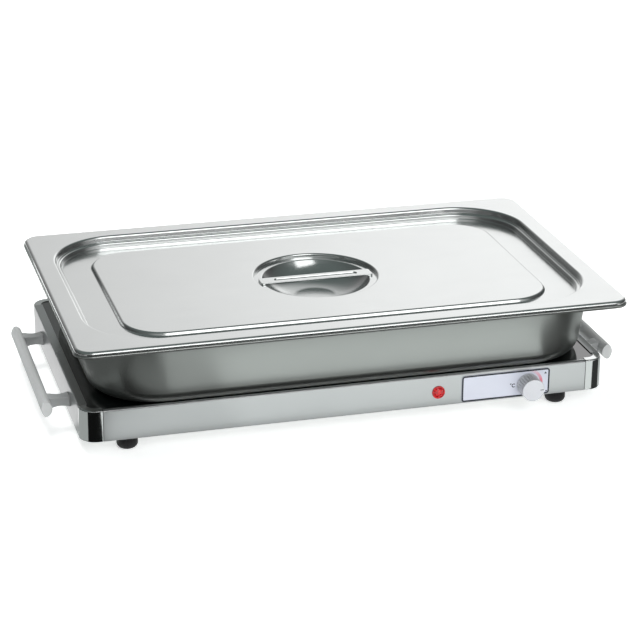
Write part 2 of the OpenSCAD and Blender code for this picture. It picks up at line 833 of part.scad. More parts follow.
// Pressed gastronorm pan: rolled rim, leaning walls, rounded floor
module gn_pan() {
    half = [pan_w / 2, pan_d / 2];
    mouth = less(half, rim_w);
    m = sheet / 2;
    top = rim_z - m;
    low = pan_z + m;
    wall_x = mouth_r - wall_lean;
    inset = wall_lean + floor_r;
    fold = rim_corner_r - m - rim_fold_r;
    flat = less(half, rim_corner_r / 3);
    wall = concat([[mouth_r + 3, top]],
                  arc([mouth_r + 2, top - mouth_edge_r], mouth_edge_r, 90, 175, 3),
                  arc([wall_x - floor_r, low + floor_r], floor_r, 0, -90, 6),
                  [[wall_x - floor_r - 1, low]]);
    lip = concat([[rim_corner_r - 6, top]],
                 arc([fold, top - rim_fold_r], rim_fold_r, 90, 0, 4),
                 [[rim_corner_r - m, rim_z - rim_drop]]);
    color([0.75, 0.77, 0.76]) translate([pan_x, 0, 0]) {
        sweep_round(mouth, mouth_r, sheet_outline(wall, sheet));
        rounded_plate(less(mouth, inset), mouth_r - inset, pan_z, sheet);
        rounded_frame(flat, rim_corner_r * 2 / 3, less(mouth, -1), mouth_r + 1, rim_z - sheet, sheet);
        sweep_round(half, rim_corner_r, sheet_outline(lip, sheet));
    }
}

// Middle line of the sheet between the lid's border and its recess: two drops with a ledge
// between them. It ends on the recess floor; border is the border's middle level.
function recess_wall(border, floor_z) =
    concat([[recess_r + 1, border]],
           arc([recess_r, border - 2], 2, 90, 170, 3),
           arc([recess_r - 4, border - 4.4], 1.6, -20, -90, 2),
           arc([recess_r - 5.5, border - 7.5], 1.5, 90, 165, 2),
           arc([recess_r - 8.2, floor_z + 1.2], 1.2, -10, -90, 2),
           [[recess_r - step_run, floor_z]]);

// Middle line of the low step between the recess floor and the raised panel
function panel_step(floor_z) =
    concat([[plateau_r + 3.2, floor_z]],
           arc([plateau_r + 2.6, floor_z + 1.2], 1.2, -90, -150, 2),
           arc([plateau_r - 0.4, floor_z + plateau_h - 1.2], 1.2, 30, 90, 2),
           [[plateau_r - 2, floor_z + plateau_h]]);

// Middle line of the dish's sheet: a rounded edge, a narrow ledge and a bowl
function dish_path(z) =
    let (flat_z = z - dish_h)
    concat([[dish_r + 1, z]],
           arc([dish_r, z - 1.4], 1.4, 90, 165, 3),
           arc([ledge_r, z - ledge_drop + 1], 1, -15, -90, 2),
           arc([bowl_r, z - ledge_drop - bowl_fold_r], bowl_fold_r, 90, 90 + bowl_slope, 3),
           arc([bowl_flat_r, flat_z + bowl_arc_r], bowl_arc_r, bowl_slope - 90, -90, 6),
           [[0, flat_z]]);

// Pressed lid: rolled edge, flat border, stepped recess, raised panel and finger dish
module lid_sheet() {
    half = [pan_w / 2 - lid_inset, pan_d / 2 - lid_inset];
    m = sheet / 2;
    top = lid_z - m;
    floor_z = top - recess_h;
    recess = less(half, border_w);
    flat = less(half, 7);
    floor_outer = less(recess, step_run - 0.5);
    panel = [plateau_x, plateau_y];
    edge = concat([[rim_corner_r - 8, top]],
                  arc([rim_corner_r - m - lid_edge_r, top - lid_edge_r], lid_edge_r, 90, 0, 5));
    color([0.8, 0.82, 0.82]) translate([pan_x, 0, 0]) {
        sweep_round(half, rim_corner_r, sheet_outline(edge, sheet));
        rounded_frame(flat, rim_corner_r - 7, less(recess, -0.5), recess_r + 0.5, lid_z - sheet, sheet);
        sweep_round(recess, recess_r, sheet_outline(recess_wall(top, floor_z), sheet));
        rounded_frame(floor_outer, recess_r - step_run + 0.5, less(panel, -2.7), plateau_r + 2.7,
                      floor_z - m, sheet);
        sweep_round(panel, plateau_r, sheet_outline(panel_step(floor_z), sheet));
        difference() {
            rounded_plate(less(panel, 1.5), plateau_r - 1.5, plateau_z - sheet, sheet);
            translate([0, 0, plateau_z - sheet - over]) cylinder(r = dish_r + 0.5, h = sheet + 2 * over);
        }
        rotate_extrude($fn = 96) polygon(sheet_outline(dish_path(plateau_z - m), sheet));
    }
}

// Strip handle across the dish, with a long pressed groove
module lid_handle() {
    low = plateau_z - ledge_drop;
    groove_z = low + strip_t - groove_h;
    straight = groove_len - groove_w;
    color("silver") translate([pan_x, 0, 0]) difference() {
        translate([-strip_len / 2, -strip_w / 2, low]) cube([strip_len, strip_w, strip_t]);
        translate([-straight / 2, -groove_w / 2, groove_z]) cube([straight, groove_w, strip_t]);
        for (s = [-1, 1]) translate([s * straight / 2, 0, groove_z]) cylinder(r = groove_w / 2, h = strip_t);
    }
}

front_panel();
rear_panel();
left_side_panel();
right_side_panel();
corner_post_front_left();
corner_post_front_right();
corner_post_rear_left();
corner_post_rear_right();
bottom_cover();
bottom_cover_screws();
rubber_feet();
foot_studs();
foot_nuts();
left_handle_bar();
right_handle_bar();
left_handle_posts();
right_handle_posts();
left_handle_screws();
right_handle_screws();
glass_plate();
glass_gasket();
support_rails();
heat_spreader();
heater_mat();
insulation_board();
heater_tray();
tray_pillars();
thermal_cutout();
label_plate();
thermostat_body();
thermostat_bush();
thermostat_nut();
thermostat_spindle();
control_knob();
knob_pointer();
pilot_lamp_lens();
pilot_lamp_body();
pilot_lamp_clip();
thermostat_bulb();
capillary_tube();
cord_gland();
gland_nut();
terminal_block();
earth_stud();
earth_nut();
internal_leads();
rating_plate();
gn_pan();
lid_sheet();
lid_handle();
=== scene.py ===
"""Looks of the electric buffet server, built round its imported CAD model.

Lengths inside the builders of pieces are millimetres in the model's own frame, and make_piece() turns
them into metres. Places and outer sizes come from the CAD nodes' boxes. The camera, the lights, the
cards and the floor are in metres.
"""

import json
import math

import bmesh
import bpy
from mathutils import Matrix, Vector


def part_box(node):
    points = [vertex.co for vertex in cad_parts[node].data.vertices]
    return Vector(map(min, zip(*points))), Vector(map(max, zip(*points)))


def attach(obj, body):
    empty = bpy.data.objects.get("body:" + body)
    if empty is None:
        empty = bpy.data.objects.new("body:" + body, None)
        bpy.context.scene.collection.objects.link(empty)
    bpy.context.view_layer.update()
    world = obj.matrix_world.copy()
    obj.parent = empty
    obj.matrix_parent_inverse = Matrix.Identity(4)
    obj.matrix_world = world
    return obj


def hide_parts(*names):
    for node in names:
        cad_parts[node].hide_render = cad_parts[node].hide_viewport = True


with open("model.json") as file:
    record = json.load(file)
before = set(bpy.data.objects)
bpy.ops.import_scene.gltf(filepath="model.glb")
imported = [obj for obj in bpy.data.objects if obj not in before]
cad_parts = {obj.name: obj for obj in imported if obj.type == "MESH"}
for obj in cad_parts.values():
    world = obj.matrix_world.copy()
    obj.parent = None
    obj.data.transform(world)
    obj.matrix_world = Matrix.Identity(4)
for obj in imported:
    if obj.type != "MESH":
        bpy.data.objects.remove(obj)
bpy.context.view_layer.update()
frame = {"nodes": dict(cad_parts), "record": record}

MM = 0.001


# ---- Camera ------------------------------------------------------------------------------

CAMERA_PLACE = Vector((-0.5343, -1.8963, 0.8389))
CAMERA_YAW = math.radians(-15.95)
CAMERA_PITCH = math.radians(-21.63)
CAMERA_ROLL = math.radians(0.55)
CAMERA_LENS = 120.5
SENSOR_WIDTH = 36
VIEW_END = 60


def add_camera():
    """The photograph's viewpoint, as a camera whose roll is part of its rotation."""
    data = bpy.data.cameras.new("camera")
    data.sensor_width = SENSOR_WIDTH
    data.lens = CAMERA_LENS
    data.clip_end = VIEW_END
    camera = bpy.data.objects.new("camera", data)
    bpy.context.scene.collection.objects.link(camera)
    across = math.cos(CAMERA_PITCH)
    forward = Vector((-math.sin(CAMERA_YAW) * across, math.cos(CAMERA_YAW) * across, math.sin(CAMERA_PITCH)))
    right = Vector((math.cos(CAMERA_YAW), math.sin(CAMERA_YAW), 0))
    up = right.cross(forward)
    c, s = math.cos(CAMERA_ROLL), math.sin(CAMERA_ROLL)
    turned = Matrix((right * c + up * s, up * c - right * s, -forward)).transposed()
    camera.matrix_world = Matrix.Translation(CAMERA_PLACE) @ turned.to_4x4()
    bpy.context.scene.camera = camera


# ---- Materials ---------------------------------------------------------------------------

def link(tree, source, socket, target, name):
    """Links a node's output socket to another node's named input."""
    tree.links.new(source.outputs[socket], target.inputs[name])


def start_material(name, **constants):
    """A material with a Principled shader, its object coordinates and constants set on its sockets."""
    material = bpy.data.materials.new(name)
    material.use_nodes = True
    tree = material.node_tree
    shader = tree.nodes["Principled BSDF"]
    for socket, value in constants.items():
        shader.inputs[socket.replace("_", " ")].default_value = value
    place = tree.nodes.new("ShaderNodeTexCoord")
    return material, tree, shader, place


def noise(tree, place, scale, stretch=(1, 1, 1), detail=4.0, rough=0.5):
    """Noise in object space. Stretch is the scale along each axis: a small one draws the noise out."""
    mapping = tree.nodes.new("ShaderNodeMapping")
    mapping.inputs["Scale"].default_value = stretch
    link(tree, place, "Object", mapping, "Vector")
    node = tree.nodes.new("ShaderNodeTexNoise")
    node.inputs["Scale"].default_value = scale
    node.inputs["Detail"].default_value = detail
    node.inputs["Roughness"].default_value = rough
    link(tree, mapping, "Vector", node, "Vector")
    return node


def spread(tree, source, socket, low, high, start=0.3, end=0.7):
    """Maps a texture's middle range to low..high."""
    node = tree.nodes.new("ShaderNodeMapRange")
    node.inputs["From Min"].default_value = start
    node.inputs["From Max"].default_value = end
    node.inputs["To Min"].default_value = low
    node.inputs["To Max"].default_value = high
    link(tree, source, socket, node, "Value")
    return node


def colours(tree, source, socket, stops):
    """A colour ramp over (position, colour) stops."""
    node = tree.nodes.new("ShaderNodeValToRGB")
    ramp = node.color_ramp
    while len(ramp.elements) < len(stops):
        ramp.elements.new(0.5)
    for element, (position, colour) in zip(ramp.elements, stops):
        element.position = position
        element.color = (*colour[:3], 1)
    link(tree, source, socket, node, "Fac")
    return node


def add_bump(tree, shader, height, strength, distance):
    """Gives a shader a bump from a noise texture; distance is in metres."""
    node = tree.nodes.new("ShaderNodeBump")
    node.inputs["Strength"].default_value = strength
    node.inputs["Distance"].default_value = distance
    link(tree, height, "Fac", node, "Height")
    link(tree, node, "Normal", shader, "Normal")


def shade(colour, factor):
    """A colour times a factor, with no channel over 1."""
    return tuple(min(1.0, c * factor) for c in colour)


def vary_tone(tree, source, shader, dark, pale, socket="Base Color"):
    """Colours a shader's socket from dark to pale over the middle range of a noise texture."""
    tint = colours(tree, source, "Fac", [(0.3, dark), (0.7, pale)])
    link(tree, tint, "Color", shader, socket)


def metal(name, colour, roughness, grain=(1, 1, 1), grain_scale=900, grain_bump=0.02, vary=0.04, wipe=0.03):
    """Bare metal: fine grain drawn out along one axis, faint cloudy wiping marks in colour and gloss."""
    material, tree, shader, place = start_material(name, Metallic=1.0)
    cloud = noise(tree, place, 9, detail=3)
    vary_tone(tree, cloud, shader, shade(colour, 1 - vary), shade(colour, 1 + vary))
    lines = noise(tree, place, grain_scale, grain, detail=3)
    smear = noise(tree, place, 26, (1, 2.5, 2.5), detail=5, rough=0.65)
    fine = spread(tree, lines, "Fac", -wipe, wipe)
    broad = spread(tree, smear, "Fac", roughness - wipe, roughness + wipe)
    total = tree.nodes.new("ShaderNodeMath")
    total.operation = "ADD"
    tree.links.new(fine.outputs["Result"], total.inputs[0])
    tree.links.new(broad.outputs["Result"], total.inputs[1])
    link(tree, total, "Value", shader, "Roughness")
    add_bump(tree, shader, lines, grain_bump, distance=0.0004)
    return material


def plastic(name, colour, roughness, texture=900, texture_bump=0.05, vary=0.06, coat=0.0):
    """Moulded plastic, rubber or paint: a fine skin texture and slight colour and gloss variation."""
    material, tree, shader, place = start_material(name, Coat_Weight=coat, Coat_Roughness=0.08)
    cloud = noise(tree, place, 30, detail=4)
    vary_tone(tree, cloud, shader, shade(colour, 1 - vary), shade(colour, 1 + vary))
    pores = noise(tree, place, texture, detail=3)
    gloss = spread(tree, pores, "Fac", roughness * 0.85, roughness * 1.15)
    link(tree, gloss, "Result", shader, "Roughness")
    add_bump(tree, shader, pores, texture_bump, distance=0.0003)
    return material


def black_glass():
    """Opaque black glass-ceramic: a dark body under a glossy surface, with faint wiping marks."""
    material, tree, shader, place = start_material("black_glass", IOR=2.1)
    cloud = noise(tree, place, 14, detail=4)
    vary_tone(tree, cloud, shader, (0.0016, 0.0028, 0.0025), (0.0028, 0.0042, 0.0038))
    smear = noise(tree, place, 40, (1, 3, 1), detail=5, rough=0.6)
    gloss = spread(tree, smear, "Fac", 0.02, 0.06)
    link(tree, gloss, "Result", shader, "Roughness")
    add_bump(tree, shader, cloud, 0.01, distance=0.0005)
    return material


def red_lens():
    """Clear red plastic with a lamp's glow behind it, brightest in the middle."""
    material, tree, shader, place = start_material(
        "lamp_red", Roughness=0.12, Coat_Weight=0.7, Coat_Roughness=0.04, Emission_Strength=0.10)
    cells = tree.nodes.new("ShaderNodeTexVoronoi")
    cells.inputs["Scale"].default_value = 520
    link(tree, place, "Object", cells, "Vector")
    tint = colours(tree, cells, "Distance", [(0.0, (0.80, 0.015, 0.02)), (0.6, (0.32, 0.003, 0.006))])
    link(tree, tint, "Color", shader, "Base Color")
    glow = colours(tree, cells, "Distance", [(0.0, (1.0, 0.09, 0.07)), (0.55, (0.7, 0.01, 0.015))])
    link(tree, glow, "Color", shader, "Emission Color")
    return material


def fibre_board():
    """Compressed mineral fibre: short matted strands."""
    material, tree, shader, place = start_material("mineral_board", Roughness=0.95)
    strands = noise(tree, place, 350, (1, 4, 4), detail=6, rough=0.7)
    vary_tone(tree, strands, shader, (0.55, 0.48, 0.34), (0.8, 0.74, 0.6))
    add_bump(tree, shader, strands, 0.4, distance=0.0006)
    return material


STEEL = (0.70, 0.715, 0.71)
BRUSH_X = (0.02, 1, 1)
BRUSH_Y = (1, 0.02, 1)

MATERIALS = {
    "brushed_stainless": metal("brushed_stainless", (0.66, 0.67, 0.675), 0.32,
                               BRUSH_X, 2600, 0.05, 0.02, 0.02),
    # Painted shade: the side panels' brushed steel is a darker copy of brushed_stainless, brushed along Y.
    "brushed_side_painted_shade": metal("brushed_side_painted_shade", (0.48, 0.49, 0.49), 0.30, BRUSH_Y, 2600, 0.05, 0.02, 0.02),
    "polished_stainless": metal("polished_stainless", STEEL, 0.17, BRUSH_X, 1500, 0.005, 0.015, 0.015),
    "satin_stainless": metal("satin_stainless", (0.47, 0.485, 0.47), 0.34,
                             BRUSH_X, 1500, 0.012, 0.02, 0.015),
    "chrome_post": metal("chrome_post", (0.74, 0.755, 0.75), 0.07, (1, 1, 0.03), 1800, 0.006, 0.01, 0.01),
    "black_glass": black_glass(),
    "handle_grey": plastic("handle_grey", (0.50, 0.51, 0.51), 0.42, 1400, 0.04, 0.03),
    "standoff_grey": plastic("standoff_grey", (0.33, 0.34, 0.34), 0.42, 1400, 0.04, 0.03),
    "rubber_black": plastic("rubber_black", (0.004, 0.004, 0.0045), 0.65, 1200, 0.10, 0.15),
    "seal_black": plastic("seal_black", (0.02, 0.02, 0.02), 0.6, 900, 0.08, 0.1),
    "label_pale": plastic("label_pale", (0.58, 0.60, 0.68), 0.32, 2200, 0.015, 0.01),
    "knob_silver": plastic("knob_silver", (0.56, 0.57, 0.60), 0.3, 1400, 0.02, 0.03, 0.4),
    "mark_dark": plastic("mark_dark", (0.012, 0.015, 0.024), 0.5, 1500, 0.02, 0.04),
    "mark_grey": plastic("mark_grey", (0.16, 0.165, 0.18), 0.4, 1500, 0.02, 0.04),
    "lamp_red": red_lens(),
    "plastic_black": plastic("plastic_black", (0.015, 0.015, 0.016), 0.45, 800, 0.08, 0.1),
    "plastic_ivory": plastic("plastic_ivory", (0.68, 0.63, 0.5), 0.4, 700, 0.04, 0.05),
    "zinc_fastener": metal("zinc_fastener", (0.6, 0.61, 0.6), 0.35, (1, 1, 1), 400, 0.04, 0.08, 0.06),
    "aluminium_plate": metal("aluminium_plate", (0.74, 0.75, 0.76), 0.34, BRUSH_X, 1200, 0.04, 0.03, 0.04),
    "heater_silicone": plastic("heater_silicone", (0.30, 0.08, 0.04), 0.7, 500, 0.15, 0.12),
    "mineral_board": fibre_board(),
    "brass": metal("brass", (0.72, 0.52, 0.22), 0.28, (1, 1, 1), 700, 0.03, 0.06, 0.05),
    "copper": metal("copper", (0.72, 0.36, 0.22), 0.3, (1, 1, 1), 600, 0.03, 0.08, 0.06),
    "phenolic_brown": plastic("phenolic_brown", (0.10, 0.05, 0.03), 0.35, 600, 0.06, 0.15, 0.3),
    "wire_red": plastic("wire_red", (0.42, 0.04, 0.035), 0.5, 900, 0.05, 0.08),
}


# ---- Mesh tools --------------------------------------------------------------------------

CORNER_STEPS = 20
LEAST_R = 0.05
MERGE = 0.001
BEVEL_SEGMENTS = 3
BEVEL_ANGLE = math.radians(35)
FLAT_WEIGHT = 100


def box_mm(node):
    """Lowest and highest corner of a CAD node, in millimetres."""
    low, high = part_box(node)
    return low / MM, high / MM


def spans(node, first, second):
    """Middle and half sizes of a CAD node's box across two of its axes."""
    low, high = box_mm(node)
    middle = ((low[first] + high[first]) / 2, (low[second] + high[second]) / 2)
    half = ((high[first] - low[first]) / 2, (high[second] - low[second]) / 2)
    return middle, half


def plan_of(node):
    """Middle and half sizes of a CAD node, seen from above."""
    return spans(node, 0, 1)


def face_of(node):
    """Middle and half sizes of a CAD node, across its width and its height."""
    return spans(node, 0, 2)


def arc(centre, radius, first, last, steps=8):
    """Points of an arc about a centre, from one angle to another in degrees."""
    angles = [math.radians(first + (last - first) * i / steps) for i in range(steps + 1)]
    return [(centre[0] + radius * math.cos(a), centre[1] + radius * math.sin(a)) for a in angles]


def round_loop(middle, inner, radius, z, steps=CORNER_STEPS):
    """Rounded rectangle at height z: inner is the half size of the rectangle of the corner centres."""
    points = []
    for quarter, (sx, sy) in enumerate(((1, 1), (-1, 1), (-1, -1), (1, -1))):
        for i in range(steps + 1):
            a = math.radians(90 * quarter + 90 * i / steps)
            points.append((middle[0] + sx * inner[0] + radius * math.cos(a),
                           middle[1] + sy * inner[1] + radius * math.sin(a), z))
    return points


def circle_loop(middle, radius, z, steps):
    """Circle at height z about a middle point."""
    angles = [2 * math.pi * i / steps for i in range(steps)]
    return [(middle[0] + radius * math.cos(a), middle[1] + radius * math.sin(a), z) for a in angles]


def shaped_loop(size, steps, place, out):
    """Closed loop round an axis, at a distance out along it. Size gives its radius at each angle."""
    angles = [2 * math.pi * i / steps for i in range(steps)]
    return [place(size(a) * math.cos(a), size(a) * math.sin(a), out) for a in angles]


def skin(loops, close=False):
    """Vertices and faces through loops of equal length, capped at both ends or closed into a ring."""
    count = len(loops[0])
    vertices = [p for loop in loops for p in loop]
    faces = []
    rows = len(loops) if close else len(loops) - 1
    for i in range(rows):
        below = i * count
        above = (i + 1) % len(loops) * count
        for k in range(count):
            after = (k + 1) % count
            faces.append((below + k, below + after, above + after, above + k))
    if not close:
        faces.append(tuple(range(count))[::-1])
        faces.append(tuple(range(len(vertices) - count, len(vertices))))
    return vertices, faces


def offset_line(line, distance):
    """Moves each point of a line of (x, y) sideways, to its right, keeping its thickness at the bends."""
    def normal(a, b):
        """Unit vector to the right of the way from a to b."""
        dx, dy = b[0] - a[0], b[1] - a[1]
        size = math.hypot(dx, dy)
        return dy / size, -dx / size

    moved = []
    for i, p in enumerate(line):
        before = normal(line[max(i - 1, 0)], line[max(i, 1)])
        after = normal(line[min(i, len(line) - 2)], line[min(i + 1, len(line) - 1)])
        mx, my = before[0] + after[0], before[1] + after[1]
        scale = 2 * distance / (mx * mx + my * my)
        moved.append((p[0] + mx * scale, p[1] + my * scale))
    return moved


def pressed_sheet(middle, stations, thickness):
    """Closed skin of a pressed sheet. Each station is (inner half size, corner radius, z) of the sheet's
    middle surface, from its outer edge to its centre, where both faces are capped."""
    line = [(inner[0] + radius, z) for inner, radius, z in stations]
    faces = []
    for side in (1, -1):
        moved = offset_line(line, side * thickness / 2)
        faces.append([round_loop(middle, station[0], max(u - station[0][0], LEAST_R), z)
                      for station, (u, z) in zip(stations, moved)])
    return skin(faces[0][::-1] + faces[1])


def corner_stations(half, radius, points):
    """Stations on one set of corner centres; points are (radius, z)."""
    inner = (half[0] - radius, half[1] - radius)
    return [(inner, r, z) for r, z in points]


def round_edges(radius, low_z, high_z, edge, steps):
    """(radius, z) points up the side of a plate whose two edges are rounded."""
    lower = arc((radius - edge, low_z + edge), edge, -90, 0, steps)
    upper = arc((radius - edge, high_z - edge), edge, 0, 90, steps)
    return lower + upper


def extrude(outline, place, start, end):
    """Closed solid of an outline; place(u, v, along) gives each of its points in the frame."""
    return skin([[place(u, v, start) for u, v in outline], [place(u, v, end) for u, v in outline]])


def lathe(profile, steps, place):
    """Solid of revolution of (radius, height) points about the Z axis; place moves it into the frame."""
    loops = [[place(*p) for p in circle_loop((0, 0), r, z, steps)] for r, z in profile]
    return skin(loops)


def join(*parts):
    """One set of vertices and faces out of several."""
    vertices, faces = [], []
    for more_vertices, more_faces in parts:
        start = len(vertices)
        vertices += more_vertices
        faces += [tuple(start + i for i in face) for face in more_faces]
    return vertices, faces


def make_piece(name, shape, slot, body="base", stands_for=(), material=None, smooth=True, bevel=0.0):
    """Turns millimetre geometry into a piece that rides on a body and stands for CAD nodes.

    Its material is the slot's own unless another is named.
    """
    vertices, faces = shape
    mesh = bpy.data.meshes.new(name)
    mesh.from_pydata([(x * MM, y * MM, z * MM) for x, y, z in vertices], [], faces)
    work = bmesh.new()
    work.from_mesh(mesh)
    bmesh.ops.remove_doubles(work, verts=work.verts, dist=MERGE * MM)
    bmesh.ops.recalc_face_normals(work, faces=work.faces)
    work.to_mesh(mesh)
    work.free()
    mesh.polygons.foreach_set("use_smooth", [smooth] * len(mesh.polygons))
    mesh.materials.append(MATERIALS[material or slot])
    piece = bpy.data.objects.new(name, mesh)
    bpy.context.scene.collection.objects.link(piece)
    if bevel:
        rounding = piece.modifiers.new("edges", "BEVEL")
        rounding.width = bevel * MM
        rounding.segments = BEVEL_SEGMENTS
        rounding.limit_method = "ANGLE"
        rounding.angle_limit = BEVEL_ANGLE
    if smooth:
        weights = piece.modifiers.new("flats", "WEIGHTED_NORMAL")
        weights.weight = FLAT_WEIGHT
    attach(piece, body)
    if stands_for:
        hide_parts(*stands_for)


# ---- Housing -----------------------------------------------------------------------------

SHEET = 1.0
CORNER_R = 15.5
EDGE_R = 2.5
EDGE_LIP = 1.0
FLANGE_BEND = 1.2
POST_BEND = 1.4
POST_LEDGE = 7.5
POST_GAP = 0.4
GLASS_EDGE = 0.8
FOOT_R = 10.0
TREAD_R = 5.0


def sheet_outline(line):
    """Outline of a sheet, from its middle line."""
    return offset_line(line, SHEET / 2) + offset_line(line, -SHEET / 2)[::-1]


def make_front_and_rear():
    """Front and rear panels: upright sheets whose top edge bends in over the glass."""
    for name, sign in (("front_panel", 1), ("rear_panel", -1)):
        low, high = box_mm(name)
        face = low.y if sign > 0 else high.y
        line = [(SHEET / 2, low.z)] + arc((EDGE_R, high.z - EDGE_R), EDGE_R - SHEET / 2, 180, 90, 10)
        line.append((EDGE_R + EDGE_LIP, high.z - SHEET / 2))
        shape = extrude(sheet_outline(line), lambda u, v, x: (x, face + sign * u, v), low.x, high.x)
        make_piece(name.replace("panel", "skin"), shape, "brushed_stainless", stands_for=[name], bevel=0.18)


def make_sides():
    """Side panels: upright sheets with a wide flange that lies over the edge of the glass."""
    for side, sign in (("left", 1), ("right", -1)):
        low, high = box_mm(side + "_side_panel")
        face = low.x if sign > 0 else high.x
        line = [(SHEET / 2, low.z)]
        line += arc((FLANGE_BEND, high.z - FLANGE_BEND), FLANGE_BEND - SHEET / 2, 180, 90, 8)
        line.append((high.x - low.x, high.z - SHEET / 2))
        shape = extrude(sheet_outline(line), lambda u, v, y: (face + sign * u, y, v), low.y, high.y)
        # The side panels take the darker copy of the brushed steel, which is painted shade.
        make_piece(side + "_side_skin", shape, "brushed_stainless", stands_for=[side + "_side_panel"],
                   material="brushed_side_painted_shade", bevel=0.15)


def post_path(reach_x, reach_y):
    """Points along a corner post's outside, seen from above, each with its direction inward."""
    path = [((reach_x, 0), (0, 1)), ((CORNER_R, 0), (0, 1))]
    for i in range(1, CORNER_STEPS):
        a = math.radians(90 * i / CORNER_STEPS)
        s, c = math.sin(a), math.cos(a)
        path.append(((CORNER_R - CORNER_R * s, CORNER_R - CORNER_R * c), (s, c)))
    return path + [((0, CORNER_R), (1, 0)), ((0, reach_y), (1, 0))]


def make_corner_posts():
    """Bright corner posts: a quarter-round sheet with short straight legs and a ledge at the top."""
    left, right = box_mm("left_side_panel")[0].x, box_mm("right_side_panel")[1].x
    front, rear = box_mm("front_panel")[0].y, box_mm("rear_panel")[1].y
    seam_x = box_mm("front_panel")[0].x - left
    seam_y = box_mm("left_side_panel")[0].y - front
    low, high = box_mm("corner_post_front_left")
    line = [(SHEET / 2, low.z)]
    line += arc((POST_BEND, high.z - POST_BEND), POST_BEND - SHEET / 2, 180, 90, 8)
    line.append((POST_LEDGE, high.z - SHEET / 2))
    outline = sheet_outline(line)
    path = post_path(seam_x - POST_GAP, seam_y - POST_GAP)
    for depth, y_face, sy in (("front", front, 1), ("rear", rear, -1)):
        for side, x_face, sx in (("left", left, 1), ("right", right, -1)):
            loops = [[(x_face + sx * (p[0] + n[0] * u), y_face + sy * (p[1] + n[1] * u), v)
                      for u, v in outline] for p, n in path]
            make_piece(f"corner_{depth}_{side}", skin(loops), "chrome_post",
                       stands_for=[f"corner_post_{depth}_{side}"], bevel=0.15)


def make_glass():
    """Glass hotplate with ground edges."""
    low, high = box_mm("glass_plate")
    middle, half = plan_of("glass_plate")
    radius = CORNER_R - (low.x - box_mm("left_side_panel")[0].x)
    inner = (half[0] - radius, half[1] - radius)
    profile = round_edges(radius, low.z, high.z, GLASS_EDGE, 5)
    loops = [round_loop(middle, inner, r, z) for r, z in profile]
    make_piece("glass_hotplate", skin(loops), "black_glass", stands_for=["glass_plate"])


def make_feet():
    """Rubber feet: a hollow below the stud, a rounded tread and a waist up to a collar."""
    low, high = box_mm("rubber_feet")
    centres = [(x, y) for x in (low.x + FOOT_R, high.x - FOOT_R) for y in (low.y + FOOT_R, high.y - FOOT_R)]
    hollow = [(2.2, 1.6), (3.6, 1.6), (4.0, 0.4)]
    tread = arc((FOOT_R - TREAD_R, TREAD_R), TREAD_R, -100, 0, 12)
    waist = [(FOOT_R - 0.15, 8.2), (FOOT_R - 0.6, 8.6), (FOOT_R - 0.6, high.z - 2.4)]
    collar = [(FOOT_R - 0.15, high.z - 2), (FOOT_R - 0.3, high.z - 0.3), (FOOT_R - 0.6, high.z)]
    profile = [(r, max(z, 0.0)) for r, z in hollow + tread + waist + collar]
    feet = [lathe(profile, 48, lambda x, y, z, at=at: (x + at[0], y + at[1], z)) for at in centres]
    make_piece("feet", join(*feet), "rubber_black", stands_for=["rubber_feet"])


# ---- Handles -----------------------------------------------------------------------------

OUTER_SAG = 4.0
TIP_CUT = 0.5
WAIST = 1.0
WAIST_SHIFT = 1.0
POST_FLARE = 2.0
POST_HALF_Y = 6.5
POST_ROUND = 1.1
POST_STEPS = 16


def sag_radius(half_chord, sag):
    """Radius of the arc that rises by sag over half a chord."""
    return (half_chord ** 2 + sag ** 2) / (2 * sag)


def make_handles():
    """Handle bars of a pointed oval section, each held by two waisted posts."""
    for side, sign in (("left", -1), ("right", 1)):
        low, high = box_mm(side + "_handle_bar")
        outer_x = max(abs(low.x), abs(high.x))
        inner_x = min(abs(low.x), abs(high.x))
        middle_z = (high.z + low.z) / 2
        half_high = (high.z - low.z) / 2 + TIP_CUT
        top = half_high - TIP_CUT
        inner_sag = outer_x - inner_x - OUTER_SAG
        chord = outer_x - OUTER_SAG
        outer_r = sag_radius(half_high, OUTER_SAG)
        inner_r = sag_radius(half_high, inner_sag)
        out_angle = math.degrees(math.asin(top / outer_r))
        in_angle = math.degrees(math.asin(top / inner_r))
        inner_centre = chord - inner_sag + inner_r
        outline = arc((chord + OUTER_SAG - outer_r, 0), outer_r, -out_angle, out_angle, 16)
        outline += arc((inner_centre, 0), inner_r, 180 - in_angle, 180 + in_angle, 16)
        shape = extrude(outline, lambda u, v, y: (sign * u, y, middle_z + v), low.y, high.y)
        make_piece(side + "_grip", shape, "handle_grey", stands_for=[side + "_handle_bar"], bevel=0.45)
        make_handle_posts(side, sign, middle_z, inner_centre, inner_r)


def make_handle_posts(side, sign, middle_z, bar_centre, bar_r):
    """The two posts of one handle. Their outer ends follow the round of the bar."""
    low, high = box_mm(side + "_handle_posts")
    start = min(abs(low.x), abs(high.x))
    end = max(abs(low.x), abs(high.x))
    reach = end - start
    half_z = (high.z - low.z) / 2
    waist_x = start + reach / 2 - WAIST_SHIFT
    waist_r = sag_radius(reach / 2 - POST_FLARE, WAIST)
    posts = []
    for y in (low.y + POST_HALF_Y, high.y - POST_HALF_Y):
        loops = []
        for i in range(POST_STEPS + 1):
            share = i / POST_STEPS
            along = start + reach * share
            dip = max(0.0, math.sqrt(max(waist_r ** 2 - (along - waist_x) ** 2, 0)) - waist_r + WAIST)
            inner = (POST_HALF_Y - POST_ROUND - dip, half_z - POST_ROUND - dip)
            loop = []
            for u, v, x in round_loop((0, 0), inner, POST_ROUND, along, 5):
                bar_face = bar_centre - math.sqrt(bar_r ** 2 - v * v)
                loop.append((sign * (x + (min(bar_face, end) - end) * share), y + u, middle_z + v))
            loops.append(loop)
        posts.append(skin(loops))
    make_piece(side + "_standoffs", join(*posts), "handle_grey", stands_for=[side + "_handle_posts"],
               material="standoff_grey", bevel=0.3)


# ---- Controls ----------------------------------------------------------------------------

